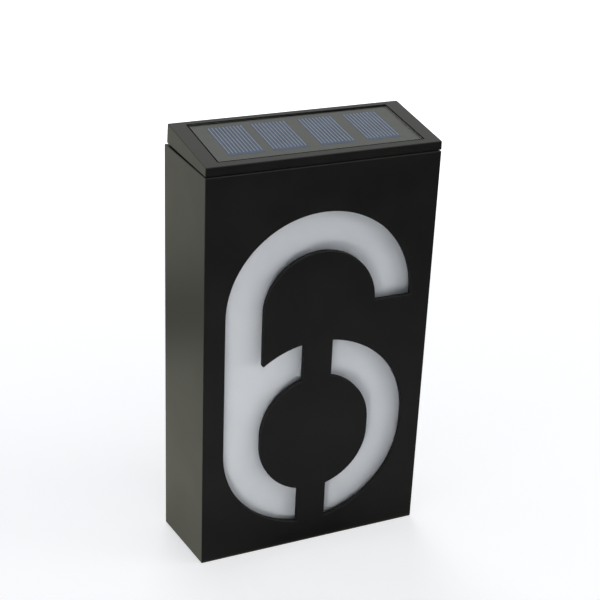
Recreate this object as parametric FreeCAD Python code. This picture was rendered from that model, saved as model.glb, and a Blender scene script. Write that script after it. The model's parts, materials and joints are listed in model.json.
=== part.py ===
import FreeCAD, Part
import math
import os
from FreeCAD import Placement, Rotation, Vector

# A wall-hung house number sign: a black moulding with a stencil numeral in its face, lit from
# behind and charged by a solar panel in its sloping cap. Millimetres. X runs along the width,
# -Y points out of the face, +Z is up. The origin is the centre of the back, on the wall plane.

# Body and cap, on the outside.
width = 101.6                   # across the back
height = 184.15                 # lowest edge to the top of the cap
depth = 40.64                   # wall to face
side_draft = 1.56               # each side stands this much further in at the face
bottom_rise = 5.0               # the bottom is this much higher at the face
wall = 2.2
face_thickness = 2.0
edge_radius = 0.35
top_chamfer = 0.25              # round the body's top and the cap's foot, along the parting line

cap_back_height = 7.9
cap_front_height = 3.55
cap_draft_angle = 1.5
cap_side_inset = 0.8            # the cap's sides stand this much inside the body's at the back
cap_back_inset = 0.2
reveal = 0.5                    # open line between body and cap
skirt = 0.9                     # cap wall outside the lip
lip_width = 1.2
lip_height = 1.3
lip_clearance = 0.15
cap_seal_thickness = 0.5
cap_screw_engagement = 2.1
cap_floor = 1.4                 # cap wall under the panel recess

# Solar panel, measured along the slope of the cap.
window_front_border = 3.35
window_back_border = 2.7
window_side_border = 6.0
window_radius = 0.6
panel_gap = 0.55
panel_sink = 0.3                # rim of the window down to the panel's face
cover_thickness = 0.55
solar_board_thickness = 0.8
panel_pad_thickness = 0.25
solar_cell_width = 14.6
solar_cell_length = 24.6
solar_cell_thickness = 0.25
solar_cell_end_margin = 6.49    # panel beyond the outer cells, where they are evenly laid
solar_cell_offsets = [-0.15, -1.35, -0.55, -0.15]    # each cell, off its even place
solar_cell_shift = 0.8          # towards the back from the panel's middle
panel_pocket_border = 2.0       # solid cap round the pocket under the panel
panel_pad_inset = 1.0

# Numeral: a hook that runs down into a bowl, with a bridge across the bowl's ring.
numeral_side_margin = 8.94
numeral_top_margin = 19.35
numeral_bottom_margin = 10.2
stroke = 16.1
bowl_straight = 4.85
hook_crown = 0.5                # the hook's stroke is this much thicker at its top
hook_drop = 0.95                # the hook's free end, below the middle of its round
bridge = 12.7
numeral_edge_radius = 0.25
notch_radius = 0.5

# Diffuser and light chamber.
diffuser_thickness = 2.0
diffuser_stand_off = 2.0        # room between the face's wall and the diffuser, which a rim holds
diffuser_rim_width = 2.0
diffuser_gap = 0.5
tray_wall = 1.0
tray_flange = 1.2
tray_flange_width = 4.6
tray_radius = 4.0
chamber_margin = 0.4            # chamber wall outside the numeral, in the plane of the diffuser
chamber_draft_angle = 7.02

# LEDs.
led_count = 4
led_pitch = 34.0
led_radius = 2.4
led_height = 4.6
led_flange_radius = 2.75
led_flange_height = 1.0
led_pin_radius = 0.3
led_pin_spacing = 2.54
led_pin_tail = 0.9
led_board_width = 12.0
led_board_thickness = 1.0
led_board_end = 10.0            # board beyond the last LED
led_hole_clearance = 0.25
led_pin_clearance = 0.08
led_post_height = 3.0
led_screw_engagement = 1.8
led_screw_end_gap = 1.5         # head of the end screw to the end of the board

# Back plate.
plate_thickness = 2.4
plate_rim = 1.0                 # body wall round the plate
plate_gap = 0.25
plate_seal_thickness = 0.6
boss_radius = 3.0
boss_wall_overlap = 0.5         # bosses run this far into the wall beside them
rib_thickness = 1.2
plate_screw_engagement = 7.1
keyhole_spacing = 52.0
keyhole_entry_radius = 4.5
keyhole_slot_radius = 2.3
keyhole_travel = 8.0
keyhole_seat_drop = 13.7        # seat of the slot below the body's top
screw_head_room = 5.0           # depth behind a keyhole for the head of the wall screw
screw_head_radius_room = 5.2
keyhole_pocket_wall = 1.2

# Battery: one AAA cell lying across the sign.
battery_radius = 5.25
battery_length = 44.5
battery_rim_radius = 0.6
battery_nub_radius = 1.9
battery_nub_height = 0.9
battery_rise = 42.0             # axis above the lowest edge
battery_gap = 0.5               # round the cell
contact_thickness = 0.3
spring_length = 5.0
spring_wire = 0.7
spring_turns = 3.5
spring_foot_radius = 3.6
spring_top_radius = 2.0
well_wall = 1.2
well_floor = 1.0
door_thickness = 1.8
door_sink = 0.2                 # door's face behind the wall plane
door_gap = 0.3
door_border = 3.0               # door beyond the well, above and below
door_ear = 9.8                  # door beyond the well, at each end, for its screws
door_radius = 3.0
door_seal_thickness = 0.4
door_seal_width = 1.4
ledge_thickness = 1.8
ledge_border = 1.5
door_boss_length = 4.6
door_chamfer = 0.3
door_screw_engagement = 3.2
grip_count = 3                  # grooves for a fingertip in the door
grip_pitch = 2.6
grip_length = 18.0
grip_width = 1.0
grip_depth = 0.5
seal_gap = 0.4                  # well's mouth to the door's seal
contact_inset = 0.6             # contact plates inside the cell's diameter
contact_top_gap = 1.2

# Control board and switch.
board_width = 34.0
board_height = 24.0
board_thickness = 1.2
board_drop = 33.7               # middle of the board below the body's top
board_screw_inset = 2.8
board_screw_engagement = 2.8
board_radius = 1.0
switch_width = 8.6
switch_height = 4.4
switch_depth = 3.5
switch_gap = 0.2
switch_shell = 0.5
switch_pin_radius = 0.35
switch_pin_spacing = 2.5
switch_pin_tail = 0.8
switch_pin_clearance = 0.1
switch_travel = 2.5
knob_width = 2.6
knob_height = 2.0
knob_sink = 0.3                 # knob's end behind the wall plane
knob_groove_width = 0.4
knob_groove_depth = 0.35
knob_base_width = 3.2
knob_base_height = 2.4
knob_base_thickness = 1.0
slide_clearance = 0.15
slot_clearance = 0.3
finger_dish_depth = 1.0
finger_dish_margin = 3.6
bay_gap = 0.5                   # between the battery well and the tails of the LEDs

# What is soldered to the control board, on its inner side.
chip_width = 5.0
chip_height = 4.0
chip_thickness = 1.45
chip_rise = 5.0                 # above the middle of the board
chip_stand_off = 0.15
chip_leg_count = 4              # on each of two sides
chip_leg_pitch = 1.27
chip_leg_width = 0.4
chip_leg_thickness = 0.25
chip_leg_reach = 1.0            # from the body to the end of the foot
chip_leg_overlap = 0.1
inductor_x = -8.0
inductor_radius = 3.0
inductor_winding_radius = 2.5
inductor_flange = 0.8
inductor_height = 4.4
capacitor_x = 8.0
capacitor_radius = 2.5
capacitor_height = 6.0
wound_part_rise = 2.0           # inductor and capacitor above the middle of the board
resistor_count = 4
resistor_pitch = 4.0
resistor_length = 1.6
resistor_width = 0.8
resistor_thickness = 0.5
resistor_drop = 5.0             # below the middle of the board

# Screws.
small_screw_radius = 0.8
small_head_radius = 1.75
small_head_height = 1.1
large_screw_radius = 1.2
large_head_radius = 2.4
large_head_height = 1.1
screw_clearance = 0.2
pilot_clearance = 0.04
pilot_room = 1.4                # plate screw's hole beyond its tip
head_sink = 0.1                 # heads below the surface that they are sunk in
small_boss_wall = 1.2
tray_screw_bite = 0.4           # tray screws into the back of the face
tray_pilot_bite = 0.8

# Leads.
lead_radius = 0.5
wire_hole_radius = 3.2
lead_hole_radius = 0.8
lead_pad_inset = 2.5            # solder pads from the control board's edges
solar_lead_spacing = 2.8
solar_lead_exit = 6.0           # straight out of the panel
solar_lead_drop = 8.0           # below the housing's roof, where the leads turn inwards
solar_lead_hang = 7.0           # above the pads, where they turn down beside the board
solar_lead_stand_off = 5.0
solar_pad_spacing = 10.0
led_lead_spacing = 5.2
led_lead_stand_off = 4.0
led_lead_drop = 9.5
battery_lead_height = 2.0       # above the floor of the battery well
battery_lead_side = 1.5         # outside the door's screws
battery_lead_slant = 22.0       # below the pads, where the leads turn inwards
battery_pad_spacing = 24.0

# Places that follow from the sizes above.
z_low = -height / 2
body_top = height / 2 - cap_back_height - reveal
face_y = -depth
face_half_width = width / 2 - side_draft
face_low = z_low + bottom_rise
cap_foot = body_top + reveal
cap_draft = math.tan(math.radians(cap_draft_angle))
small_boss_radius = small_screw_radius + small_boss_wall

outer_radius = face_half_width - numeral_side_margin
inner_radius = outer_radius - stroke
numeral_low = face_low + numeral_bottom_margin
numeral_high = body_top - numeral_top_margin
bowl_low = numeral_low + outer_radius
bowl_high = bowl_low + bowl_straight
hook_middle = numeral_high - outer_radius
numeral_middle = (numeral_low + numeral_high) / 2

face_inside = face_y + face_thickness
diffuser_front = face_inside + diffuser_stand_off
diffuser_back = diffuser_front + diffuser_thickness
top_inside = body_top - wall
plate_inside = -plate_thickness
door_inside = -door_sink - door_thickness
battery_y = door_inside - battery_gap / 2 - battery_radius
battery_z = z_low + battery_rise
well_floor_y = battery_y - battery_radius
well_back_y = well_floor_y - well_floor
led_board_back = well_back_y - bay_gap - led_pin_tail
led_board_front = led_board_back - led_board_thickness
tray_back_y = led_board_front - tray_wall
well_half_length = (2 * contact_thickness + spring_length + battery_length) / 2
well_half_height = battery_radius + battery_gap
door_half_width = well_half_length + door_ear
door_half_height = well_half_height + door_border
door_screw_x = (well_half_length + well_wall + door_half_width) / 2

chamber_half_width = outer_radius + chamber_margin
chamber_draft = math.tan(math.radians(chamber_draft_angle))
tray_screw_x = chamber_half_width + tray_wall + screw_clearance + small_head_radius
tray_screw_rows = [numeral_middle - led_pitch, numeral_middle + led_pitch]

keyhole_seat_z = body_top - keyhole_seat_drop
keyhole_entry_z = keyhole_seat_z - keyhole_travel

board_z = body_top - board_drop
switch_front = plate_inside - switch_gap - switch_depth
board_front = switch_front - board_thickness
board_screw_x = board_width / 2 - board_screw_inset
lead_pad_high = board_z + board_height / 2 - lead_pad_inset
lead_pad_low = board_z - board_height / 2 + lead_pad_inset

cap_run = depth - cap_back_inset - cap_draft * (cap_front_height + cap_back_height)
slope_angle = math.atan2(cap_back_height - cap_front_height, cap_run)
slope_length = cap_run / math.cos(slope_angle)
cap_back_y = -cap_back_inset - cap_draft * cap_back_height
window_half_width = face_half_width - window_side_border
window_length = slope_length - window_front_border - window_back_border
window_from_back = window_back_border + window_length / 2
panel_half_width = window_half_width - panel_gap
panel_half_length = window_length / 2 - panel_gap
cover_low = -panel_sink - cover_thickness
solar_board_low = cover_low - solar_board_thickness
recess_low = solar_board_low - panel_pad_thickness
cap_screw_x = (window_half_width + face_half_width - skirt - lip_width) / 2
cap_screw_rows = [face_y + depth / 4, -depth / 4]
wire_hole_y = -depth / 3

corner_boss_x = face_half_width - wall - boss_radius + boss_wall_overlap
corner_boss_z = face_low + wall + boss_radius - boss_wall_overlap
upper_boss_x = cap_screw_x - large_head_radius - boss_radius - 1.2
upper_boss_z = top_inside - small_head_height - boss_radius - 0.6


def box(x0, x1, y0, y1, z0, z1):
    return Part.makeBox(x1 - x0, y1 - y0, z1 - z0, Vector(x0, y0, z0))


def rod_x(y, z, radius, x0, x1):
    return Part.makeCylinder(radius, x1 - x0, Vector(x0, y, z), Vector(1, 0, 0))


def rod_y(x, z, radius, y0, y1):
    return Part.makeCylinder(radius, y1 - y0, Vector(x, y0, z), Vector(0, 1, 0))


def rod_z(x, y, radius, z0, z1):
    return Part.makeCylinder(radius, z1 - z0, Vector(x, y, z0))


def fused(shapes):
    return shapes[0].multiFuse(shapes[1:]).removeSplitter()


def mirrored_x(shape):
    return shape.mirror(Vector(0, 0, 0), Vector(1, 0, 0))


def both_sides(shape):
    return [shape, mirrored_x(shape)]


def outline_prism(corners, direction):
    return Part.Face(Part.makePolygon(corners + corners[:1])).extrude(direction)


def solid_between(first, second):
    # A solid with flat sides between two outlines that have as many corners.
    count = len(first)
    faces = [Part.Face(Part.makePolygon(first + first[:1]))]
    faces.append(Part.Face(Part.makePolygon(second + second[:1])))
    for i in range(count):
        j = (i + 1) % count
        side = [first[i], first[j], second[j], second[i], first[i]]
        faces.append(Part.Face(Part.makePolygon(side)))
    solid = Part.Solid(Part.Shell(faces))
    if solid.Volume < 0:
        solid.reverse()
    return solid


def is_along(edge, direction):
    # True for a straight edge within about 12 degrees of the direction.
    if len(edge.Vertexes) < 2:
        return False
    chord = edge.Vertexes[1].Point - edge.Vertexes[0].Point
    if chord.Length < 0.001 or edge.Length - chord.Length > 0.001:
        return False
    return abs(chord.normalize().dot(direction)) > 0.978


def edges_where(shape, test):
    return [edge for edge in shape.Edges if test(edge)]


def slab_y(half_width, z0, z1, radius, y0, y1):
    # A plate with rounded corners, upright in XZ and as thick as y1 - y0.
    slab = box(-half_width, half_width, y0, y1, z0, z1)
    corners = edges_where(slab, lambda edge: is_along(edge, Vector(0, 1, 0)))
    return slab.makeFillet(radius, corners)


def body_half_width(y):
    return width / 2 + side_draft * y / depth


def body_low(y):
    return z_low - bottom_rise * y / depth


def body_section(y, inset):
    # The body's outline at one depth, moved in by the inset on all four sides.
    x = body_half_width(y) - inset
    low = body_low(y) + inset
    high = body_top - inset
    return [Vector(-x, y, low), Vector(x, y, low), Vector(x, y, high), Vector(-x, y, high)]


def body_block(y0, y1, inset):
    return solid_between(body_section(y0, inset), body_section(y1, inset))


def cap_half_width(y):
    back = width / 2 - cap_side_inset
    return face_half_width + (back - face_half_width) * (y - face_y) / depth


def cap_section(z, inset):
    # The cap's outline at one height. It is wider at the back than at the face.
    rise = cap_draft * (z - cap_foot)
    y_front = face_y + inset + rise
    y_back = -cap_back_inset - inset - rise
    front = cap_half_width(y_front) - inset - rise
    back = cap_half_width(y_back) - inset - rise
    return [Vector(-front, y_front, z), Vector(front, y_front, z),
            Vector(back, y_back, z), Vector(-back, y_back, z)]


def cap_ring(outer_inset, inner_inset, z0, z1):
    up = Vector(0, 0, z1 - z0)
    outside = outline_prism([Vector(p.x, p.y, z0) for p in cap_section(cap_foot, outer_inset)], up)
    inside = outline_prism([Vector(p.x, p.y, z0) for p in cap_section(cap_foot, inner_inset)], up)
    return outside.cut(inside)


def slope_place():
    # The panel's own frame: X as the sign's, Y up the slope, Z square to it, and the origin on
    # the cap's sloping top at the middle of the window.
    along = Vector(0, -math.cos(slope_angle), -math.sin(slope_angle))
    back_edge = Vector(0, cap_back_y, height / 2)
    turn = Rotation(Vector(1, 0, 0), math.degrees(slope_angle))
    return Placement(back_edge + along * window_from_back, turn)


def on_slope(shape):
    shape.Placement = slope_place().multiply(shape.Placement)
    return shape


def slope_slab(half_width, half_length, z0, z1, radius):
    slab = box(-half_width, half_width, -half_length, half_length, z0, z1)
    if radius == 0:
        return slab
    corners = edges_where(slab, lambda edge: is_along(edge, Vector(0, 0, 1)))
    return slab.makeFillet(radius, corners)


def stadium_y(radius, z0, z1, y0, y1):
    # An upright bar with half-round ends, whose rounds are centred at z0 and z1.
    left_low, right_low = Vector(-radius, y0, z0), Vector(radius, y0, z0)
    left_high, right_high = Vector(-radius, y0, z1), Vector(radius, y0, z1)
    edges = [
        Part.Arc(left_high, Vector(0, y0, z1 + radius), right_high).toShape(),
        Part.LineSegment(right_high, right_low).toShape(),
        Part.Arc(right_low, Vector(0, y0, z0 - radius), left_low).toShape(),
        Part.LineSegment(left_low, left_high).toShape(),
    ]
    return Part.Face(Part.Wire(edges)).extrude(Vector(0, y1 - y0, 0))


def hook(y0, y1):
    # The numeral's stem and upper round, with its free end at the right.
    end_z = hook_middle - hook_drop
    inner_middle = hook_middle - hook_crown
    stem = [Vector(inner_radius, y0, end_z), Vector(outer_radius, y0, end_z),
            Vector(outer_radius, y0, hook_middle), Vector(-outer_radius, y0, hook_middle),
            Vector(-outer_radius, y0, bowl_low), Vector(-inner_radius, y0, bowl_low),
            Vector(-inner_radius, y0, inner_middle), Vector(inner_radius, y0, inner_middle)]
    top_outer = Vector(0, y0, hook_middle + outer_radius)
    top_inner = Vector(0, y0, inner_middle + inner_radius)
    edges = [
        Part.LineSegment(stem[0], stem[1]).toShape(),
        Part.LineSegment(stem[1], stem[2]).toShape(),
        Part.Arc(stem[2], top_outer, stem[3]).toShape(),
        Part.LineSegment(stem[3], stem[4]).toShape(),
        Part.LineSegment(stem[4], stem[5]).toShape(),
        Part.LineSegment(stem[5], stem[6]).toShape(),
        Part.Arc(stem[6], top_inner, stem[7]).toShape(),
        Part.LineSegment(stem[7], stem[0]).toShape(),
    ]
    return Part.Face(Part.Wire(edges)).extrude(Vector(0, y1 - y0, 0))


def numeral(y0, y1):
    bowl = stadium_y(outer_radius, bowl_low, bowl_high, y0, y1)
    bowl = bowl.cut(stadium_y(inner_radius, bowl_low, bowl_high, y0 - 1, y1 + 1))
    bar = box(-bridge / 2, bridge / 2, y0 - 1, y1 + 1, z_low, bowl_high + outer_radius + 1)
    return fused([bowl.cut(bar), hook(y0, y1)])


def screw(length, radius, head_radius, head_height):
    # Pan head below the origin, shank along +Z from it, cross recess in the head.
    head = Part.makeCylinder(head_radius, head_height, Vector(0, 0, -head_height))
    rim = edges_where(head, lambda edge: edge.CenterOfMass.z < -head_height * 0.9 and edge.Closed)
    head = head.makeFillet(head_height * 0.45, rim)
    arm = head_radius * 0.62
    slot = head_radius * 0.13
    sunk = head_height * 0.55
    cross = [box(-arm, arm, -slot, slot, -head_height - 1, -head_height + sunk),
             box(-slot, slot, -arm, arm, -head_height - 1, -head_height + sunk)]
    return head.cut(fused(cross)).fuse(Part.makeCylinder(radius, length))


def small_screw(length):
    return screw(length, small_screw_radius, small_head_radius, small_head_height)


def placed(shape, position, direction):
    turned = shape.copy()
    turned.Placement = Placement(position, Rotation(Vector(0, 0, 1), direction))
    return turned


def lead(points):
    # A wire through the points: straight runs joined by arcs as large as the runs allow.
    edges = []
    start = points[0]
    for i in range(1, len(points) - 1):
        before = (points[i - 1] - points[i])
        after = (points[i + 1] - points[i])
        reach = 0.45 * min(before.Length, after.Length)
        before.normalize()
        after.normalize()
        turn = math.pi - before.getAngle(after)
        radius = reach / math.tan(turn / 2)
        middle = Vector(before + after)
        middle.normalize()
        depth_in = radius / math.cos(turn / 2) - radius
        arc_start = points[i] + before * reach
        arc_end = points[i] + after * reach
        edges.append(Part.LineSegment(start, arc_start).toShape())
        edges.append(Part.Arc(arc_start, points[i] + middle * depth_in, arc_end).toShape())
        start = arc_end
    edges.append(Part.LineSegment(start, points[-1]).toShape())
    return tube(edges, lead_radius, points[0], points[1] - points[0])


def tube(edges, radius, start, direction):
    profile = Part.Wire([Part.Circle(start, direction, radius).toShape()])
    return Part.Wire(edges).makePipeShell([profile], True, False)


def biarc(start, start_tangent, end, end_tangent):
    # Two arcs that leave and arrive along the given tangents.
    chord = end - start
    total = start_tangent + end_tangent
    a = 2 * (1 - start_tangent.dot(end_tangent))
    b = 2 * chord.dot(total)
    c = -chord.dot(chord)
    reach = (-b + math.sqrt(b * b - 4 * a * c)) / (2 * a)
    near = start + start_tangent * reach
    far = end - end_tangent * reach
    joint = (near + far) * 0.5
    return [arc_by_corner(start, near, joint), arc_by_corner(joint, far, end)]


def arc_by_corner(start, corner, end):
    # The arc that touches both legs of the corner at their ends.
    leg = (start - corner).Length
    inward = (start + end) * 0.5 - corner
    half_turn = math.asin(min(1.0, inward.Length / leg))
    radius = leg / math.tan(half_turn)
    inward.normalize()
    sagitta = math.hypot(radius, leg) - radius
    return Part.Arc(start, corner + inward * sagitta, end).toShape()


def coil_spring():
    # A conical battery spring along +X, foot on the contact plate, top on the cell.
    steps = int(spring_turns * 4)
    x_foot = -well_half_length + contact_thickness + spring_wire / 2
    rise = spring_length - spring_wire
    points = []
    tangents = []
    for i in range(steps + 1):
        share = i / steps
        angle = 2 * math.pi * spring_turns * share
        radius = spring_foot_radius + (spring_top_radius - spring_foot_radius) * share
        shrink = (spring_top_radius - spring_foot_radius) / (2 * math.pi * spring_turns)
        points.append(Vector(x_foot + rise * share, battery_y + radius * math.cos(angle),
                             battery_z + radius * math.sin(angle)))
        tangent = Vector(rise / (2 * math.pi * spring_turns),
                         shrink * math.cos(angle) - radius * math.sin(angle),
                         shrink * math.sin(angle) + radius * math.cos(angle))
        tangent.normalize()
        tangents.append(tangent)
    edges = []
    for i in range(steps):
        edges += biarc(points[i], tangents[i], points[i + 1], tangents[i + 1])
    return tube(edges, spring_wire / 2, points[0], tangents[0])


def front_housing():
    outside = body_block(face_y, 0, 0)
    rounded = edges_where(outside, is_body_edge)
    outside = outside.makeFillet(edge_radius, rounded)
    top_edges = edges_where(outside, lambda edge: edge.BoundBox.ZMin > body_top - 0.01
                            and edge.BoundBox.YMin < -1)
    outside = outside.makeChamfer(top_chamfer, top_edges)

    ledge_y = plate_inside - plate_seal_thickness
    cavity = solid_between(body_section(face_inside, wall), body_section(ledge_y, wall))
    rebate = solid_between(body_section(ledge_y, plate_rim), body_section(1, plate_rim))
    shell = outside.cut(fused([cavity, rebate]))

    bosses = []
    for x, z in plate_screw_places():
        bosses.append(rod_y(x, z, boss_radius, face_inside, plate_inside))
    for z in tray_screw_rows:
        for x in (-tray_screw_x, tray_screw_x):
            bosses.append(rod_y(x, z, small_boss_radius, face_inside, diffuser_back))
    half_rib = rib_thickness / 2
    ribs = [box(corner_boss_x, width / 2, face_inside, ledge_y,
                corner_boss_z - half_rib, corner_boss_z + half_rib),
            box(corner_boss_x - half_rib, corner_boss_x + half_rib, face_inside, ledge_y,
                z_low, corner_boss_z),
            box(upper_boss_x - half_rib, upper_boss_x + half_rib, face_inside, ledge_y,
                upper_boss_z, body_top - wall / 2)]
    for rib in ribs:
        bosses += [part.common(body_block(face_y, 0, wall / 2)) for part in both_sides(rib)]
    rim = diffuser_outline(face_inside, diffuser_front, 0)
    rim = rim.cut(diffuser_outline(face_inside - 1, diffuser_front + 1, diffuser_rim_width))
    lip = cap_ring(skirt, skirt + lip_width, body_top - 0.4, body_top + lip_height)
    shell = fused([shell, lip, rim] + bosses)

    holes = [numeral(face_y - 1, face_inside + 0.5)]
    for x, z in plate_screw_places():
        holes.append(rod_y(x, z, large_screw_radius + pilot_clearance,
                           plate_inside - plate_screw_engagement - pilot_room, plate_inside + 1))
    for z in tray_screw_rows:
        for x in (-tray_screw_x, tray_screw_x):
            holes.append(rod_y(x, z, small_screw_radius + pilot_clearance,
                               face_inside - tray_pilot_bite, diffuser_back + 1))
    for y in cap_screw_rows:
        for x in (-cap_screw_x, cap_screw_x):
            holes.append(rod_z(x, y, small_screw_radius + screw_clearance, top_inside - 1, body_top + 1))
    holes.append(rod_z(0, wire_hole_y, wire_hole_radius, top_inside - 1, body_top + 1))
    shell = shell.cut(fused(holes))

    notch_z = bowl_high + math.sqrt(outer_radius ** 2 - inner_radius ** 2)
    tip = edges_where(shell, lambda edge: is_along(edge, Vector(0, 1, 0))
                      and abs(edge.CenterOfMass.x + inner_radius) < 0.01
                      and abs(edge.CenterOfMass.z - notch_z) < 0.5)
    shell = shell.makeFillet(notch_radius, tip)
    rims = edges_where(shell, is_numeral_rim)
    return shell.makeFillet(numeral_edge_radius, rims)


def is_body_edge(edge):
    # The face's sides and foot, and the two lower edges that run back to the wall.
    spot = edge.CenterOfMass
    if is_along(edge, Vector(0, 1, 0)):
        return spot.z < 0
    return spot.y < face_y + 0.01 and spot.z < body_top - 0.01


def is_numeral_rim(edge):
    # The numeral's outline where it meets the face.
    bounds = edge.BoundBox
    flat = bounds.YMax < face_y + 0.01
    inside = bounds.XMin > -outer_radius - 0.1 and bounds.XMax < outer_radius + 0.1
    return flat and inside and bounds.ZMin > numeral_low - 0.1 and bounds.ZMax < numeral_high + 0.1


def plate_screw_places():
    return [(-corner_boss_x, corner_boss_z), (corner_boss_x, corner_boss_z),
            (-upper_boss_x, upper_boss_z), (upper_boss_x, upper_boss_z)]


def diffuser_outline(y0, y1, inset):
    # The sheet's outline, with its lower corners cut away round the screw bosses, moved in all round.
    half = face_half_width - wall - diffuser_gap - inset
    low = face_low + wall + diffuser_gap + inset
    high = numeral_high + tray_flange_width + chamber_margin - inset
    sheet = box(-half, half, y0, y1, low, high)
    keep_in = corner_boss_x - boss_radius - diffuser_gap - inset
    keep_up = corner_boss_z + boss_radius + diffuser_gap + inset
    notch = box(keep_in, width, y0 - 1, y1 + 1, z_low, keep_up)
    return sheet.cut(Part.makeCompound(both_sides(notch)))


def diffuser():
    sheet = diffuser_outline(diffuser_front, diffuser_back, 0)
    holes = []
    for z in tray_screw_rows:
        for x in (-tray_screw_x, tray_screw_x):
            holes.append(rod_y(x, z, small_boss_radius + screw_clearance,
                               diffuser_front - 1, diffuser_back + 1))
    return sheet.cut(Part.makeCompound(holes))


def chamber_block(grow, y0, y1):
    # The light chamber's tapering block, grown outwards by a wall.
    def section(y):
        taper = chamber_draft * (y - diffuser_back) - grow
        x = chamber_half_width - taper
        low = numeral_low - chamber_margin + taper
        high = numeral_high + chamber_margin - taper
        return [Vector(-x, y, low), Vector(x, y, low), Vector(x, y, high), Vector(-x, y, high)]
    block = solid_between(section(y0), section(y1))
    corners = edges_where(block, lambda edge: is_along(edge, Vector(0, 1, 0)))
    return block.makeFillet(tray_radius + grow, corners)


def reflector_tray():
    flange = diffuser_outline(diffuser_back, diffuser_back + tray_flange, 0)
    outside = chamber_block(tray_wall, diffuser_back, led_board_front)
    inside = chamber_block(0, diffuser_back - 1, tray_back_y)
    tray = fused([flange, outside]).cut(inside)
    posts = []
    for z in led_board_screw_rows():
        posts.append(rod_y(0, z, small_boss_radius, tray_back_y - led_post_height, tray_back_y + 0.2))
    tray = fused([tray] + posts)
    holes = []
    for z in led_rows():
        holes.append(rod_y(0, z, led_flange_radius + led_hole_clearance,
                           tray_back_y - 1, led_board_front + 1))
    for z in led_board_screw_rows():
        holes.append(rod_y(0, z, small_screw_radius + pilot_clearance,
                           tray_back_y - led_screw_engagement - 0.6, led_board_front + 1))
    for z in tray_screw_rows:
        for x in (-tray_screw_x, tray_screw_x):
            holes.append(rod_y(x, z, small_screw_radius + screw_clearance,
                               diffuser_back - 1, diffuser_back + tray_flange + 1))
    return tray.cut(Part.makeCompound(holes))


def tray_screws():
    seat = diffuser_back + tray_flange
    length = seat - face_inside + tray_screw_bite
    return [placed(small_screw(length), Vector(x, seat, z), Vector(0, -1, 0))
            for z in tray_screw_rows for x in (-tray_screw_x, tray_screw_x)]


def led_rows():
    return [numeral_middle + (i - (led_count - 1) / 2) * led_pitch for i in range(led_count)]


def led_board_half():
    return (led_count - 1) * led_pitch / 2 + led_board_end


def led_board_screw_rows():
    reach = led_board_half() - small_head_radius - led_screw_end_gap
    return [numeral_middle - reach, numeral_middle + reach]


def led_board():
    half = led_board_half()
    board = slab_y(led_board_width / 2, numeral_middle - half, numeral_middle + half,
                   board_radius, led_board_front, led_board_back)
    holes = []
    for z in led_rows():
        for x in (-led_pin_spacing / 2, led_pin_spacing / 2):
            holes.append(rod_y(x, z, led_pin_radius + led_pin_clearance,
                               led_board_front - 1, led_board_back + 1))
    for z in led_board_screw_rows():
        holes.append(rod_y(0, z, small_screw_radius + screw_clearance,
                           led_board_front - 1, led_board_back + 1))
    return board.cut(Part.makeCompound(holes))


def led():
    # A wide-angle LED along +Z, its flange on the board at the origin, its pins below.
    shoulder = led_height * 0.68
    corners = [Vector(0, 0, 0), Vector(led_flange_radius, 0, 0),
               Vector(led_flange_radius, 0, led_flange_height),
               Vector(led_radius, 0, led_flange_height), Vector(led_radius, 0, shoulder)]
    crown = Vector(0, 0, led_height)
    rise = led_height - shoulder
    round_radius = (led_radius ** 2 + rise ** 2) / (2 * rise)
    half_angle = math.asin(led_radius / round_radius) / 2
    bulge = Vector(round_radius * math.sin(half_angle), 0,
                   led_height - round_radius * (1 - math.cos(half_angle)))
    edges = [Part.LineSegment(corners[i], corners[i + 1]).toShape() for i in range(4)]
    edges.append(Part.Arc(corners[4], bulge, crown).toShape())
    edges.append(Part.LineSegment(crown, corners[0]).toShape())
    lens = Part.Face(Part.Wire(edges)).revolve(Vector(0, 0, 0), Vector(0, 0, 1), 360)
    tail = led_board_thickness + led_pin_tail
    pins = [rod_z(x, 0, led_pin_radius, -tail, 0.3) for x in (-led_pin_spacing / 2, led_pin_spacing / 2)]
    return fused([lens] + pins)


def led_board_screws():
    length = led_board_thickness + tray_wall + led_screw_engagement
    return [placed(small_screw(length), Vector(0, led_board_back, z), Vector(0, -1, 0))
            for z in led_board_screw_rows()]


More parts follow.
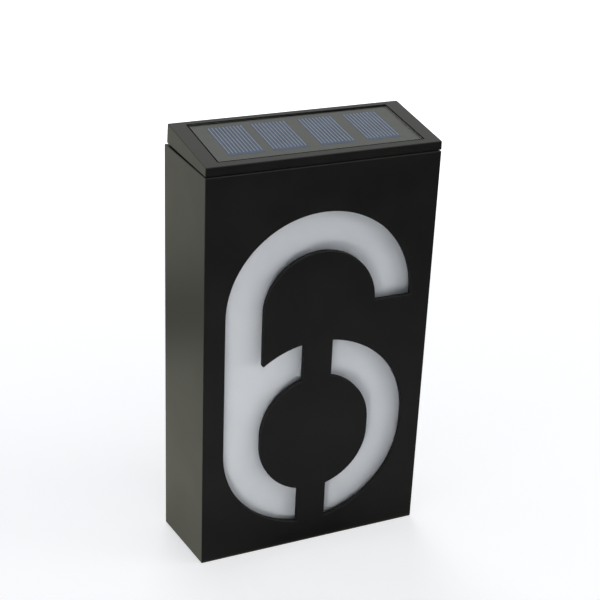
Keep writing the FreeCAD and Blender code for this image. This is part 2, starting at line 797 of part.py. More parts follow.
def back_plate():
    outline = [Vector(p.x, plate_inside, p.z) for p in body_section(plate_inside, plate_rim + plate_gap)]
    plate = outline_prism(outline, Vector(0, plate_thickness, 0))

    ledge_y = plate_inside - ledge_thickness
    added = [slab_y(door_half_width + ledge_border, battery_z - door_half_height - ledge_border,
                    battery_z + door_half_height + ledge_border, door_radius, ledge_y, plate_inside)]
    added.append(box(-well_half_length - well_wall, well_half_length + well_wall, well_back_y, plate_inside,
                     battery_z - well_half_height - well_wall, battery_z + well_half_height + well_wall))
    for x in (-door_screw_x, door_screw_x):
        added.append(rod_y(x, battery_z, small_boss_radius, ledge_y - door_boss_length, ledge_y))
    for x in (-keyhole_spacing / 2, keyhole_spacing / 2):
        added.append(keyhole_pocket(x, keyhole_pocket_wall,
                                    plate_inside - screw_head_room - keyhole_pocket_wall, plate_inside))
    for x in (-board_screw_x, board_screw_x):
        added.append(rod_y(x, board_z, small_boss_radius, switch_front, plate_inside))
    plate = fused([plate] + added)

    removed = []
    for x in (-keyhole_spacing / 2, keyhole_spacing / 2):
        removed.append(keyhole_pocket(x, 0, plate_inside - screw_head_room, plate_inside))
        removed.append(rod_y(x, keyhole_entry_z, keyhole_entry_radius, plate_inside - 0.5, 1))
        removed.append(rod_y(x, keyhole_seat_z, keyhole_slot_radius, plate_inside - 0.5, 1))
        removed.append(box(x - keyhole_slot_radius, x + keyhole_slot_radius, plate_inside - 0.5, 1,
                           keyhole_entry_z, keyhole_seat_z))
    removed.append(slab_y(door_half_width + door_gap, battery_z - door_half_height - door_gap,
                          battery_z + door_half_height + door_gap, door_radius + door_gap,
                          door_inside - door_seal_thickness, 1))
    removed.append(box(-well_half_length, well_half_length, well_floor_y, plate_inside + 1,
                       battery_z - well_half_height, battery_z + well_half_height))
    for x in (-door_screw_x, door_screw_x):
        removed.append(rod_y(x, battery_z, small_screw_radius + pilot_clearance,
                             ledge_y - door_boss_length + 0.8, plate_inside + 1))
    for x, z in plate_screw_places():
        removed.append(rod_y(x, z, large_screw_radius + screw_clearance, plate_inside - 1, 1))
        removed.append(rod_y(x, z, large_head_radius + screw_clearance * 2, plate_screw_seat(), 1))
    for x in (-board_screw_x, board_screw_x):
        removed.append(rod_y(x, board_z, small_screw_radius + pilot_clearance,
                             switch_front - 1, plate_inside - 0.2))
    slot_half = (knob_width + switch_travel) / 2 + slot_clearance
    slot_high = knob_height / 2 + slot_clearance
    removed.append(box(-slot_half, slot_half, plate_inside - 1, 1, board_z - slot_high, board_z + slot_high))
    dish_half = slot_half + finger_dish_margin
    dish_high = slot_high + finger_dish_margin * 0.6
    removed.append(slab_y(dish_half, board_z - dish_high, board_z + dish_high, dish_high * 0.9,
                          -finger_dish_depth, 1))
    for x0 in (-well_half_length - well_wall - 1, well_half_length - 1):
        removed.append(rod_x(battery_lead_y(), battery_z, lead_hole_radius, x0, x0 + well_wall + 2))
    return plate.cut(Part.makeCompound(removed))


def keyhole_pocket(x, grow, y0, y1):
    # Room behind a keyhole for the screw's head, from below the entry to above the seat.
    half = screw_head_radius_room + grow
    return box(x - half, x + half, y0, y1, keyhole_entry_z - half, keyhole_seat_z + half)


def plate_seal():
    y0 = plate_inside - plate_seal_thickness
    outer = body_section(plate_inside, plate_rim + plate_gap)
    inner = body_section(plate_inside, wall)
    thick = Vector(0, plate_seal_thickness, 0)
    outside = outline_prism([Vector(p.x, y0, p.z) for p in outer], thick)
    return outside.cut(outline_prism([Vector(p.x, y0, p.z) for p in inner], thick))


def plate_screw_seat():
    return -large_head_height - head_sink


def back_plate_screws():
    length = plate_screw_seat() - plate_inside + plate_screw_engagement
    whole = screw(length, large_screw_radius, large_head_radius, large_head_height)
    return [placed(whole, Vector(x, plate_screw_seat(), z), Vector(0, -1, 0))
            for x, z in plate_screw_places()]


def battery_door():
    door = slab_y(door_half_width, battery_z - door_half_height, battery_z + door_half_height,
                  door_radius, door_inside, -door_sink)
    rim = edges_where(door, lambda edge: edge.BoundBox.YMin > -door_sink - 0.01)
    door = door.makeChamfer(door_chamfer, rim)
    cuts = []
    for x in (-door_screw_x, door_screw_x):
        cuts.append(rod_y(x, battery_z, small_screw_radius + screw_clearance, door_inside - 1, 1))
        cuts.append(rod_y(x, battery_z, small_head_radius + screw_clearance,
                          door_head_seat(), 1))
    for i in range(grip_count):
        z = battery_z + (i - (grip_count - 1) / 2) * grip_pitch
        cuts.append(box(-grip_length / 2, grip_length / 2, -door_sink - grip_depth, 1,
                        z - grip_width / 2, z + grip_width / 2))
    return door.cut(Part.makeCompound(cuts))


def door_head_seat():
    return -door_sink - small_head_height


def battery_door_seal():
    y0 = door_inside - door_seal_thickness
    long, high = well_half_length + seal_gap, well_half_height + seal_gap
    outer = slab_y(long + door_seal_width, battery_z - high - door_seal_width,
                   battery_z + high + door_seal_width, seal_gap + door_seal_width, y0, door_inside)
    inner = slab_y(long, battery_z - high, battery_z + high, seal_gap, y0 - 1, door_inside + 1)
    return outer.cut(inner)


def battery_door_screws():
    length = door_head_seat() - plate_inside + ledge_thickness + door_screw_engagement
    return [placed(small_screw(length), Vector(x, door_head_seat(), battery_z), Vector(0, -1, 0))
            for x in (-door_screw_x, door_screw_x)]


def battery_cell():
    x_negative = -well_half_length + contact_thickness + spring_length
    x_shoulder = x_negative + battery_length - battery_nub_height
    can = rod_x(battery_y, battery_z, battery_radius, x_negative, x_shoulder)
    rims = edges_where(can, lambda edge: edge.Closed and edge.Length > battery_radius)
    can = can.makeFillet(battery_rim_radius, rims)
    nub = rod_x(battery_y, battery_z, battery_nub_radius, x_shoulder - 0.5, x_shoulder + battery_nub_height)
    return fused([can, nub])


def contact_plate(side):
    x_wall = side * well_half_length
    x_face = x_wall - side * contact_thickness
    low, high = min(x_wall, x_face), max(x_wall, x_face)
    half = battery_radius - contact_inset
    return box(low, high, well_floor_y, door_inside - door_seal_thickness - contact_top_gap,
               battery_z - half, battery_z + half)


def battery_lead_y():
    return well_floor_y + battery_lead_height


def control_board():
    board = slab_y(board_width / 2, board_z - board_height / 2, board_z + board_height / 2,
                   board_radius, board_front, switch_front)
    holes = []
    for x in (-board_screw_x, board_screw_x):
        holes.append(rod_y(x, board_z, small_screw_radius + screw_clearance,
                           board_front - 1, switch_front + 1))
    for x in (-switch_pin_spacing, 0, switch_pin_spacing):
        holes.append(rod_y(x, board_z, switch_pin_radius + switch_pin_clearance,
                           board_front - 1, switch_front + 1))
    return board.cut(Part.makeCompound(holes))


def control_board_screws():
    length = board_thickness + board_screw_engagement
    return [placed(small_screw(length), Vector(x, board_front, board_z), Vector(0, 1, 0))
            for x in (-board_screw_x, board_screw_x)]


def driver_chip():
    # A chip with legs on two sides, each bent down to a foot on the board.
    middle = board_z + chip_rise
    top = board_front - chip_stand_off - chip_thickness
    body = box(-chip_width / 2, chip_width / 2, top, board_front - chip_stand_off,
               middle - chip_height / 2, middle + chip_height / 2)
    leg_y = board_front - chip_stand_off - chip_thickness / 2
    legs = []
    for i in range(chip_leg_count):
        x = (i - (chip_leg_count - 1) / 2) * chip_leg_pitch
        for side in (-1, 1):
            z_body = middle + side * (chip_height / 2 - chip_leg_overlap)
            z_foot = middle + side * (chip_height / 2 + chip_leg_reach)
            z_bend = z_foot - side * chip_leg_thickness
            x0, x1 = x - chip_leg_width / 2, x + chip_leg_width / 2
            legs.append(box(x0, x1, leg_y, leg_y + chip_leg_thickness,
                            min(z_body, z_foot), max(z_body, z_foot)))
            legs.append(box(x0, x1, leg_y, board_front, min(z_bend, z_foot), max(z_bend, z_foot)))
    return fused([body] + legs)


def inductor():
    # A winding between two flanges.
    z = board_z + wound_part_rise
    low, high = board_front - inductor_flange, board_front - inductor_height + inductor_flange
    return fused([rod_y(inductor_x, z, inductor_radius, low, board_front),
                  rod_y(inductor_x, z, inductor_winding_radius, high, low),
                  rod_y(inductor_x, z, inductor_radius, board_front - inductor_height, high)])


def capacitor():
    can = rod_y(capacitor_x, board_z + wound_part_rise, capacitor_radius,
                board_front - capacitor_height, board_front)
    middle_y = board_front - capacitor_height / 2
    top = edges_where(can, lambda edge: edge.Closed and edge.CenterOfMass.y < middle_y)
    return can.makeFillet(capacitor_radius * 0.16, top)


def chip_resistors():
    z = board_z - resistor_drop
    middles = [(i - (resistor_count - 1) / 2) * resistor_pitch for i in range(resistor_count)]
    return [box(x - resistor_length / 2, x + resistor_length / 2,
                board_front - resistor_thickness, board_front,
                z - resistor_width / 2, z + resistor_width / 2) for x in middles]


def switch_housing():
    y_face = switch_front + switch_depth
    body = slab_y(switch_width / 2, board_z - switch_height / 2, board_z + switch_height / 2, 0.3,
                  switch_front, y_face)
    pins = [rod_y(x, board_z, switch_pin_radius, board_front - switch_pin_tail, switch_front + 0.3)
            for x in (-switch_pin_spacing, 0, switch_pin_spacing)]
    body = fused([body] + pins)
    mouth = (knob_width + switch_travel) / 2 + slide_clearance
    mouth_high = knob_height / 2 + slide_clearance
    bed = (knob_base_width + switch_travel) / 2 + slide_clearance
    bed_high = knob_base_height / 2 + slide_clearance
    bed_y = y_face - switch_shell
    bed_floor = bed_y - knob_base_thickness - 2 * slide_clearance
    body = body.cut(box(-mouth, mouth, bed_y - 0.1, y_face + 1, board_z - mouth_high, board_z + mouth_high))
    return body.cut(box(-bed, bed, bed_floor, bed_y, board_z - bed_high, board_z + bed_high))


def switch_knob():
    # At rest it stands at the low-X end of its travel.
    x = -switch_travel / 2
    base_top = switch_front + switch_depth - switch_shell - slide_clearance
    base = box(x - knob_base_width / 2, x + knob_base_width / 2, base_top - knob_base_thickness, base_top,
               board_z - knob_base_height / 2, board_z + knob_base_height / 2)
    stem = box(x - knob_width / 2, x + knob_width / 2, base_top - 0.2, -knob_sink,
               board_z - knob_height / 2, board_z + knob_height / 2)
    knob = fused([base, stem])
    half = knob_groove_width / 2
    grooves = [box(x + dx - half, x + dx + half, -knob_sink - knob_groove_depth, 1,
                   board_z - knob_height, board_z + knob_height)
               for dx in (-knob_width / 4, 0, knob_width / 4)]
    return knob.cut(Part.makeCompound(grooves))


def cap():
    tall = cap_foot + cap_back_height + 5
    block = solid_between(cap_section(cap_foot, 0), cap_section(tall, 0))
    above = on_slope(box(-width, width, -depth, depth, 0, height))
    block = block.cut(above)
    upper = edges_where(block, lambda edge: edge.BoundBox.ZMax > cap_foot + 0.1)
    block = block.makeFillet(edge_radius, upper)
    foot = edges_where(block, lambda edge: edge.BoundBox.ZMax < cap_foot + 0.01)
    block = block.makeChamfer(top_chamfer, foot)

    pads = [rod_z(x, y, small_boss_radius, body_top, cap_foot + 0.2)
            for y in cap_screw_rows for x in (-cap_screw_x, cap_screw_x)]
    block = fused([block] + pads)

    groove_top = body_top + lip_height + cap_seal_thickness
    removed = [on_slope(slope_slab(window_half_width, window_length / 2, recess_low, 5, window_radius))]
    removed.append(cap_ring(skirt - lip_clearance, skirt + lip_width + lip_clearance,
                            cap_foot - 0.1, groove_top))
    pocket_half = window_half_width - panel_pocket_border
    pocket_reach = window_length / 2 - panel_pocket_border
    removed.append(on_slope(box(-pocket_half, pocket_half, -pocket_reach, pocket_reach,
                                -height / 2, recess_low - cap_floor)))
    for y in cap_screw_rows:
        for x in (-cap_screw_x, cap_screw_x):
            removed.append(rod_z(x, y, small_screw_radius + pilot_clearance, body_top - 1,
                                 cap_foot + cap_screw_engagement + 0.3))
    removed.append(rod_z(0, wire_hole_y, wire_hole_radius, body_top, height))
    for part in removed:
        block = block.cut(part)
    return block


def cap_seal():
    z0 = body_top + lip_height
    return cap_ring(skirt, skirt + lip_width, z0, z0 + cap_seal_thickness)


def cap_screws():
    length = wall + reveal + cap_screw_engagement
    return [placed(small_screw(length), Vector(x, y, top_inside), Vector(0, 0, 1))
            for y in cap_screw_rows for x in (-cap_screw_x, cap_screw_x)]


def panel_pad():
    pad = slope_slab(panel_half_width - panel_pad_inset, panel_half_length - panel_pad_inset,
                     recess_low, solar_board_low, 0)
    return on_slope(pad).cut(rod_z(0, wire_hole_y, wire_hole_radius, body_top, height))


def solar_board():
    return on_slope(slope_slab(panel_half_width, panel_half_length, solar_board_low, cover_low,
                               window_radius - 0.3))


def solar_cell_middles():
    # Spread evenly over the panel, and each then off its place as a hand laid it.
    reach = panel_half_width - solar_cell_end_margin - solar_cell_width / 2
    last = len(solar_cell_offsets) - 1
    return [reach * (2 * i / last - 1) + offset for i, offset in enumerate(solar_cell_offsets)]


def solar_cell(middle, z0):
    half = solar_cell_width / 2
    return box(middle - half, middle + half, solar_cell_shift - solar_cell_length / 2,
               solar_cell_shift + solar_cell_length / 2, z0, z0 + solar_cell_thickness)


def solar_cover():
    sheet = slope_slab(panel_half_width, panel_half_length, cover_low, -panel_sink, window_radius - 0.3)
    cells = [solar_cell(middle, cover_low) for middle in solar_cell_middles()]
    return on_slope(sheet.cut(Part.makeCompound(cells)))


def solar_lead(side):
    place = slope_place()
    out = place.Rotation.multVec(Vector(0, 0, -1))
    x = side * solar_lead_spacing / 2
    x_pad = side * solar_pad_spacing / 2
    along = (wire_hole_y - place.Base.y) / math.cos(slope_angle)
    start = place.multVec(Vector(x, along, solar_board_low))
    y_run = board_front - solar_lead_stand_off
    return lead([start, start + out * solar_lead_exit,
                 Vector(1.6 * x, wire_hole_y, top_inside - solar_lead_drop),
                 Vector((x + x_pad) / 2, y_run, lead_pad_high + solar_lead_hang),
                 Vector(x_pad, y_run, lead_pad_high), Vector(x_pad, board_front, lead_pad_high)])


def led_lead(side):
    x = side * led_lead_spacing / 2
    y_run = board_front - led_lead_stand_off
    low_z = lead_pad_low - led_lead_drop
    return lead([Vector(x, board_front, lead_pad_low), Vector(x, y_run, lead_pad_low),
                 Vector(x, y_run, low_z), Vector(x, led_board_back, low_z)])


def battery_lead(side):
    y = battery_lead_y()
    x_up = side * (door_screw_x + battery_lead_side)
    x_pad = side * battery_pad_spacing / 2
    return lead([Vector(side * well_half_length, y, battery_z), Vector(x_up, y, battery_z),
                 Vector(x_up, y, lead_pad_low - battery_lead_slant), Vector(x_pad, y, lead_pad_low),
                 Vector(x_pad, board_front, lead_pad_low)])


def save(name, shape):
    whole = Part.makeCompound(shape) if isinstance(shape, list) else shape
    if not whole.isValid():
        print("not valid:", name)
    whole.exportStep("parts/" + name + ".step")


os.makedirs("parts", exist_ok=True)
save("front_housing", front_housing())
save("diffuser", diffuser())
save("reflector_tray", reflector_tray())
save("tray_screws", tray_screws())
save("led_board", led_board())
for number, row in enumerate(led_rows(), 1):
    save("led_%d" % number, placed(led(), Vector(0, led_board_front, row), Vector(0, -1, 0)))
save("led_board_screws", led_board_screws())
save("back_plate", back_plate())
save("back_plate_seal", plate_seal())
save("back_plate_screws", back_plate_screws())
save("battery_door", battery_door())
save("battery_door_seal", battery_door_seal())
save("battery_door_screws", battery_door_screws())
save("battery_cell", battery_cell())
save("battery_spring", coil_spring())
save("negative_contact", contact_plate(-1))
save("positive_contact", contact_plate(1))
save("control_board", control_board())
save("control_board_screws", control_board_screws())
save("driver_chip", driver_chip())
save("inductor", inductor())
save("capacitor", capacitor())
save("chip_resistors", chip_resistors())
save("switch_housing", switch_housing())
save("switch_knob", switch_knob())
save("cap", cap())
save("cap_seal", cap_seal())
save("cap_screws", cap_screws())
save("panel_pad", panel_pad())
save("solar_board", solar_board())
for number, cell_middle in enumerate(solar_cell_middles(), 1):
    save("solar_cell_%d" % number, on_slope(solar_cell(cell_middle, cover_low)))
save("solar_cover", solar_cover())
for colour, wire_side in (("red", 1), ("black", -1)):
    save("solar_lead_" + colour, solar_lead(wire_side))
    save("led_lead_" + colour, led_lead(wire_side))
    save("battery_lead_" + colour, battery_lead(wire_side))
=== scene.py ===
import bpy
import bmesh
import json
import math
from mathutils import Matrix, Vector


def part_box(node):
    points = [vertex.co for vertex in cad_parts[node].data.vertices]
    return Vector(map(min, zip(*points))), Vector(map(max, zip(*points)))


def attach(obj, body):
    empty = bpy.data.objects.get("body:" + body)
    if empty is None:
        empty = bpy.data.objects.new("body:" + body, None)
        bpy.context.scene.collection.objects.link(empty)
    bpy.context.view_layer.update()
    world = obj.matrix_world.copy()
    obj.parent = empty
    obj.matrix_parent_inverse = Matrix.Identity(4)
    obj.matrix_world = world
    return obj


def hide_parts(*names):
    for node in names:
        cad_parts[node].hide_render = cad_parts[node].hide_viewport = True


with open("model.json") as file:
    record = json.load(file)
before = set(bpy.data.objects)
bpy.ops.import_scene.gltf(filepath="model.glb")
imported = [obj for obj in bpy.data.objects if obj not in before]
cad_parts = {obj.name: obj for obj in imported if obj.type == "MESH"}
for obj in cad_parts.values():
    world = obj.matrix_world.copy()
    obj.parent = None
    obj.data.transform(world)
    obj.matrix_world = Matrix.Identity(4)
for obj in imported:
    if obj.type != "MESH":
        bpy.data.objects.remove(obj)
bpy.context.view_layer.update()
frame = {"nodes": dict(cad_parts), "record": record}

# Solar house number sign: black moulded box, stencil 6 over an opal sheet, solar panel in the cap.
# Metres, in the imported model's frame. The wall side is +Y and the face looks along -Y.

mm = 0.001
xAxis, yAxis = Vector((1, 0, 0)), Vector((0, 1, 0))
scene = bpy.context.scene
nodes = frame["nodes"]


def linear(hexColour):
    # "#rrggbb" in sRGB to the linear values that Blender's sockets take
    parts = [int(hexColour[i:i + 2], 16) / 255 for i in (1, 3, 5)]
    return [c / 12.92 if c <= 0.04045 else ((c + 0.055) / 1.055) ** 2.4 for c in parts] + [1.0]


def perMetre(sizeMm):
    # texture scale that gives features of this size on Object coordinates
    return 1000.0 / sizeMm


def add(tree, kind, values=None, links=None, **settings):
    # a shader node with its settings, its values by socket and its links by socket
    node = tree.nodes.new("ShaderNode" + kind)
    for name, value in settings.items():
        setattr(node, name, value)
    for name, value in (values or {}).items():
        node.inputs[name].default_value = value
    for name, source in (links or {}).items():
        tree.links.new(source, node.inputs[name])
    return node


def newMaterial(name):
    material = bpy.data.materials.new(name)
    material.use_nodes = True
    material.node_tree.nodes.clear()
    return material, material.node_tree


def insideBox(tree, low, high):
    # 1 inside this box of the model and 0 outside it
    where = add(tree, "TexCoord")
    offset = add(tree, "VectorMath", {1: (low + high) / 2}, {0: where.outputs["Object"]},
                 operation="SUBTRACT")
    reach = add(tree, "VectorMath", links={0: offset.outputs[0]}, operation="ABSOLUTE")
    beyond = add(tree, "VectorMath", {1: (high - low) / 2}, {0: reach.outputs[0]}, operation="SUBTRACT")
    axes = add(tree, "SeparateXYZ", links={0: beyond.outputs[0]})
    most = add(tree, "Math", links={0: axes.outputs[0], 1: axes.outputs[1]}, operation="MAXIMUM")
    most = add(tree, "Math", links={0: most.outputs[0], 1: axes.outputs[2]}, operation="MAXIMUM")
    return add(tree, "Math", {1: 0.0}, {0: most.outputs[0]}, operation="LESS_THAN")


drift = {
    "from": 0.35, "to": 0.65,           # the middle of the noise, where one tone turns into the other
    "cloudDetail": 3.0, "grainDetail": 1.0,
}


def makeFinish(name, look):
    # Two near tones and a gloss that drift together over the surface, and a fine grain in its skin.
    # The grain is stretched where the surface was brushed or drawn.
    material, tree = newMaterial(name)
    where = add(tree, "TexCoord")
    along = add(tree, "Mapping", {"Scale": look.get("stretch", (1, 1, 1))},
                {"Vector": where.outputs["Object"]})
    cloud = add(tree, "TexNoise", {"Scale": perMetre(look["cloudMm"]), "Detail": drift["cloudDetail"]},
                {"Vector": where.outputs["Object"]})
    grain = add(tree, "TexNoise", {"Scale": perMetre(look["grainMm"]), "Detail": drift["grainDetail"]},
                {"Vector": along.outputs[0]})
    share = add(tree, "MapRange", {"From Min": drift["from"], "From Max": drift["to"]},
                {"Value": cloud.outputs[0]})
    first, second = (linear(tone) for tone in look["tones"])
    colour = add(tree, "MixRGB", {"Color1": first, "Color2": second}, {"Fac": share.outputs[0]})
    gloss = add(tree, "MapRange", {"To Min": look["rough"][0], "To Max": look["rough"][1]},
                {"Value": share.outputs[0]})
    bump = add(tree, "Bump", {"Strength": 1.0, "Distance": look["grainDepthMm"] * mm},
               {"Height": grain.outputs[0]})
    skin = add(tree, "BsdfPrincipled", {"Metallic": look.get("metallic", 0.0)},
               {"Base Color": colour.outputs[0], "Roughness": gloss.outputs[0], "Normal": bump.outputs[0]})
    add(tree, "OutputMaterial", links={"Surface": skin.outputs[0]})
    return material


def patchFinish(material, low, high, look):
    # gives the part of a finish inside this box of the model another tone and gloss
    tree = material.node_tree
    skin = tree.nodes["Principled BSDF"]
    mask = insideBox(tree, low, high)
    colour = add(tree, "MixRGB", {"Color2": linear(look["tone"])},
                 {"Fac": mask.outputs[0], "Color1": skin.inputs["Base Color"].links[0].from_socket})
    gloss = add(tree, "MapRange", {"To Max": look["rough"]},
                {"Value": mask.outputs[0], "To Min": skin.inputs["Roughness"].links[0].from_socket})
    tree.links.new(colour.outputs[0], skin.inputs["Base Color"])
    tree.links.new(gloss.outputs[0], skin.inputs["Roughness"])


foot = {"bandMm": 1.0}          # vertices this near to an edge of the housing's foot belong to that edge


def footEdges():
    # depth and height of the foot's back edge and of its face edge; it rises towards the face
    spots = [v.co for v in nodes["front_housing"].data.vertices]
    band = foot["bandMm"] * mm
    back, face = max(p.y for p in spots), min(p.y for p in spots)
    backEdge = back, min(p.z for p in spots if p.y > back - band)
    faceEdge = face, min(p.z for p in spots if p.y < face + band)
    return backEdge, faceEdge


blackAbs = {
    "tones": ("#0e0e0e", "#121211"), "rough": (0.365, 0.395), "cloudMm": 20.0,
    "grainMm": 0.45, "grainDepthMm": 0.006,        # drawn coarser than the tool's 0.05 mm so that it shows
}


def mouldedAbs(name):
    # ABS from a fine spark-eroded tool: near black and satin, its gloss a little uneven
    return makeFinish(name, blackAbs)


dullInsideWithPaintedShade = {
    # the tone is painted shade: darker than the housing's ABS, on the numeral's walls
    "tone": "#030303", "rough": 0.85,
    "sideMm": 2.6, "faceMm": 0.08,      # how far in from the sides and from the face the dull, darker-painted part starts
}


def stencilAbs():
    # The housing's ABS. The walls of the numeral and all inner faces come from unpolished steel: dull.
    # Their tone is also painted darker than the housing's, as painted shade in the recess.
    material = mouldedAbs("stencilAbs")
    low, high = (Vector(corner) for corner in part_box("front_housing"))
    side, face = dullInsideWithPaintedShade["sideMm"] * mm, dullInsideWithPaintedShade["faceMm"] * mm
    low.z = max(height for depth, height in footEdges())        # the foot itself keeps its gloss
    patchFinish(material, low + Vector((side, face, side)), high - Vector((side, side, side)), dullInsideWithPaintedShade)
    return material


opalSheet = {
    "tones": ("#e1e4e6", "#e5e8ea"), "rough": (0.4, 0.46), "cloudMm": 30.0,
    "grainMm": 2.0, "grainDepthMm": 0.002, "scatterMm": (10.5, 10.1, 9.7), "ior": 1.49,
}


def opalAcrylic():
    # opal acrylic sheet: white pigment in a clear body, so light spreads sideways under the surface
    # and gathers where the opening over it is wide
    material = makeFinish("opalAcrylic", opalSheet)
    skin = material.node_tree.nodes["Principled BSDF"]
    skin.inputs["IOR"].default_value = opalSheet["ior"]
    skin.inputs["Subsurface Weight"].default_value = 1.0
    skin.inputs["Subsurface Radius"].default_value = opalSheet["scatterMm"]
    skin.inputs["Subsurface Scale"].default_value = mm
    return material


silicon = {
    # the blue of the anti-reflection coat drifts over a cell, under the resin's gloss
    "tones": ("#33496a", "#3f5678"), "rough": (0.18, 0.24), "cloudMm": 9.0,
    "grainMm": 1.2, "grainDepthMm": 0.001,
}

resinSkin = {
    "rippleMm": 3.0, "rippleDepthMm": 0.012, "rough": 0.16, "ior": 1.5,
    "flatFrom": 0.98, "sideUpTo": 0.7,                # how square to the panel its face and its sides are
    # the sides' near black tone is painted shadow of the gap between the panel and its window
    "gapShadeTone": "#060607", "edgeRough": 0.5, "edgeSpecular": 0.1,
}

# The panel's own frame: turned about X so that the sloping panel lies flat.
upFaces = [face for face in nodes["solar_board"].data.polygons if face.normal.z > abs(face.normal.y)]
panelNormal = max(upFaces, key=lambda face: face.area).normal.copy()
panelTurn = Matrix.Rotation(math.atan2(-panelNormal.y, panelNormal.z), 4, "X")


def clearResin():
    # Poured clear resin. Its rounded rim mirrors, and the gloss of its flat face is left to the board and
    # cells under it, because a whole clear sheet with a mirror renders grainy. The sawn sides are painted
    # near black as painted shadow of the gap round the panel: dark from outside, and still clear from within
    # and to the lamps.
    material, tree = newMaterial("clearResin")
    where = add(tree, "TexCoord")
    ripple = add(tree, "TexNoise", {"Scale": perMetre(resinSkin["rippleMm"])},
                 {"Vector": where.outputs["Object"]})
    bump = add(tree, "Bump", {"Distance": resinSkin["rippleDepthMm"] * mm}, {"Height": ripple.outputs[0]})
    mirror = add(tree, "BsdfGlossy", {"Roughness": resinSkin["rough"]}, {"Normal": bump.outputs[0]})
    through = add(tree, "BsdfTransparent")
    shape = add(tree, "NewGeometry")
    lean = add(tree, "VectorMath", {1: panelNormal}, {0: shape.outputs["Normal"]}, operation="DOT_PRODUCT")
    square = add(tree, "Math", links={0: lean.outputs["Value"]}, operation="ABSOLUTE")
    rounded = add(tree, "Math", {1: resinSkin["flatFrom"]}, {0: square.outputs[0]}, operation="LESS_THAN")
    upright = add(tree, "Math", {1: resinSkin["sideUpTo"]}, {0: square.outputs[0]}, operation="LESS_THAN")
    share = add(tree, "Fresnel", {"IOR": resinSkin["ior"]})
    shown = add(tree, "Math", links={0: share.outputs[0], 1: rounded.outputs[0]}, operation="MULTIPLY")
    clear = add(tree, "MixShader", links={0: shown.outputs[0], 1: through.outputs[0], 2: mirror.outputs[0]})
    # painted shadow: the sides near black, seen from outside only
    side = add(tree, "BsdfPrincipled",
               {"Base Color": linear(resinSkin["gapShadeTone"]), "Roughness": resinSkin["edgeRough"],
                "Specular IOR Level": resinSkin["edgeSpecular"]})
    outside = add(tree, "Math", links={0: upright.outputs[0], 1: shape.outputs["Backfacing"]},
                  operation="SUBTRACT", use_clamp=True)
    rays = add(tree, "LightPath")
    gapShadeShare = add(tree, "Math", links={0: outside.outputs[0], 1: rays.outputs["Is Shadow Ray"]},
                operation="SUBTRACT", use_clamp=True)
    skin = add(tree, "MixShader", links={0: gapShadeShare.outputs[0], 1: clear.outputs[0], 2: side.outputs[0]})
    add(tree, "OutputMaterial", links={"Surface": skin.outputs[0]})
    return material


